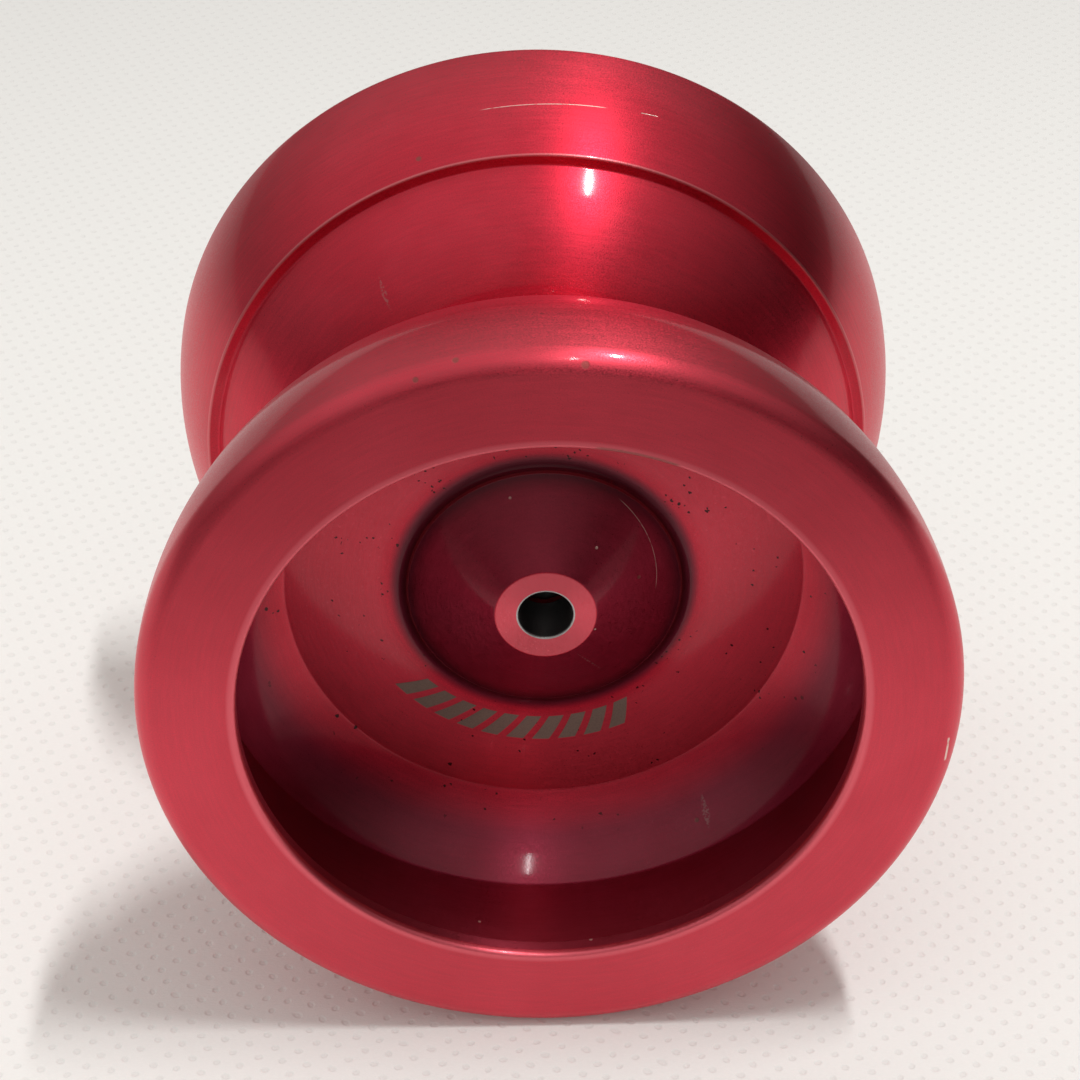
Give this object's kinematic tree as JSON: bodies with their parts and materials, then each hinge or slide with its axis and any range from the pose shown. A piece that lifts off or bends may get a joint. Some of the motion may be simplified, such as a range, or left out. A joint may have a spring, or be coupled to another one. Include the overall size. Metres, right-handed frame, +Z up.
{
  "type": "yo yo",
  "caption": "Metal yo-yo whose bowl-shaped halves with heavy rims screw together on a threaded axle round a shielded ball bearing for the string.",
  "frame": {"origin": "on the spin axis, midway between the two halves, which is the bearing's centre", "axes": "+Y along the spin axis from the front half to the rear half; +Z up, with the yo-yo standing on its rims"},
  "size_m": [0.05, 0.0418, 0.05],
  "materials": {
    "anodised_aluminium": "satin red anodised, turned and blasted",
    "silicone": "matt cast silicone",
    "axle_steel": "dark rolled thread",
    "bearing_steel": "ground",
    "shield_steel": "pressed, satin",
    "spring_steel": "drawn wire",
    "cage_steel": "pressed, satin",
    "ball_steel": "lapped"
  },
  "bodies": {
    "front_half": {"front_half": "anodised_aluminium", "front_response_pad": "silicone", "axle_stud": "axle_steel"},
    "inner_race": {"bearing_inner_race": "bearing_steel"},
    "rear_half": {"rear_half": "anodised_aluminium", "rear_response_pad": "silicone"},
    "outer_race": {"bearing_outer_race": "bearing_steel", "front_bearing_shield": "shield_steel", "rear_bearing_shield": "shield_steel", "front_snap_ring": "spring_steel", "rear_snap_ring": "spring_steel"},
    "cage": {"ball_cage": "cage_steel"},
    "ball_1": {"bearing_ball_1": "ball_steel"},
    "ball_2": {"bearing_ball_2": "ball_steel"},
    "ball_3": {"bearing_ball_3": "ball_steel"},
    "ball_4": {"bearing_ball_4": "ball_steel"},
    "ball_5": {"bearing_ball_5": "ball_steel"},
    "ball_6": {"bearing_ball_6": "ball_steel"},
    "ball_7": {"bearing_ball_7": "ball_steel"},
    "ball_8": {"bearing_ball_8": "ball_steel"}
  },
  "joints": [
    {"name": "rear_half_unscrew", "type": "hinge", "parent": "front_half", "child": "inner_race", "pos_m": [0, 0, 0], "axis": [0, 1, 0], "range_deg": [0, 2881]},
    {"name": "rear_half_travel", "type": "slide", "parent": "inner_race", "child": "rear_half", "axis": [0, 1, 0], "range_m": [0, 0.0056]},
    {"name": "outer_race_spin", "type": "hinge", "parent": "inner_race", "child": "outer_race", "pos_m": [0, 0, 0], "axis": [0, 1, 0], "continuous": true},
    {"name": "cage_orbit", "type": "hinge", "parent": "inner_race", "child": "cage", "pos_m": [0, 0, 0], "axis": [0, 1, 0], "continuous": true},
    {"name": "ball_1_spin", "type": "hinge", "parent": "cage", "child": "ball_1", "pos_m": [0, 0, 0.00476], "axis": [0, 1, 0], "continuous": true},
    {"name": "ball_2_spin", "type": "hinge", "parent": "cage", "child": "ball_2", "pos_m": [0.00337, 0, 0.00337], "axis": [0, 1, 0], "continuous": true},
    {"name": "ball_3_spin", "type": "hinge", "parent": "cage", "child": "ball_3", "pos_m": [0.00476, 0, 0], "axis": [0, 1, 0], "continuous": true},
    {"name": "ball_4_spin", "type": "hinge", "parent": "cage", "child": "ball_4", "pos_m": [0.00337, 0, -0.00337], "axis": [0, 1, 0], "continuous": true},
    {"name": "ball_5_spin", "type": "hinge", "parent": "cage", "child": "ball_5", "pos_m": [0, 0, -0.00476], "axis": [0, 1, 0], "continuous": true},
    {"name": "ball_6_spin", "type": "hinge", "parent": "cage", "child": "ball_6", "pos_m": [-0.00337, 0, -0.00337], "axis": [0, 1, 0], "continuous": true},
    {"name": "ball_7_spin", "type": "hinge", "parent": "cage", "child": "ball_7", "pos_m": [-0.00476, 0, 0], "axis": [0, 1, 0], "continuous": true},
    {"name": "ball_8_spin", "type": "hinge", "parent": "cage", "child": "ball_8", "pos_m": [-0.00337, 0, 0.00337], "axis": [0, 1, 0], "continuous": true}
  ],
  "couplings": [
    {"joint": "rear_half_unscrew", "follows": "rear_half_travel", "rad_per_m": 8976},
    {"joint": "cage_orbit", "follows": "outer_race_spin", "ratio": 0.58333},
    {"joint": "ball_1_spin", "follows": "outer_race_spin", "ratio": 2.9167},
    {"joint": "ball_2_spin", "follows": "outer_race_spin", "ratio": 2.9167},
    {"joint": "ball_3_spin", "follows": "outer_race_spin", "ratio": 2.9167},
    {"joint": "ball_4_spin", "follows": "outer_race_spin", "ratio": 2.9167},
    {"joint": "ball_5_spin", "follows": "outer_race_spin", "ratio": 2.9167},
    {"joint": "ball_6_spin", "follows": "outer_race_spin", "ratio": 2.9167},
    {"joint": "ball_7_spin", "follows": "outer_race_spin", "ratio": 2.9167},
    {"joint": "ball_8_spin", "follows": "outer_race_spin", "ratio": 2.9167}
  ]
}
